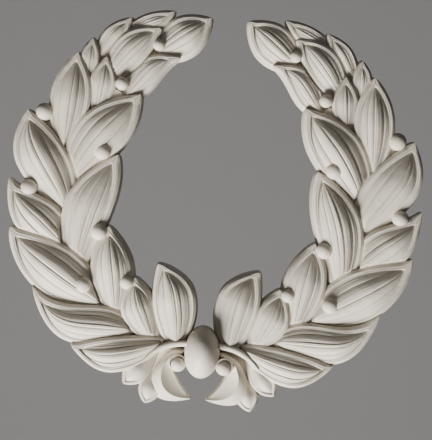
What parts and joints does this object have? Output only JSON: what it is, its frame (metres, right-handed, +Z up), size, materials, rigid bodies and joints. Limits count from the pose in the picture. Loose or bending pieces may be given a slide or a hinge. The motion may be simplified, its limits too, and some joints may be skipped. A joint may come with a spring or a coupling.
{
  "type": "laurel_wreath_moulding",
  "caption": "Plaster laurel wreath moulding, mirrored branches of carved leaves and berries rising from an oval boss, for fixing flat to a wall or panel",
  "frame": {"origin": "on the flat back, behind the middle of the oval boss", "axes": "+X right as seen from the front, +Z up, the carved face towards -Y and the flat back in the plane y = 0"},
  "size_m": [0.2898, 0.03, 0.275],
  "materials": {
    "plaster": "cast gypsum plaster, matt warm white"
  },
  "bodies": {
    "root": {"laurel_wreath": "plaster"}
  },
  "joints": []
}
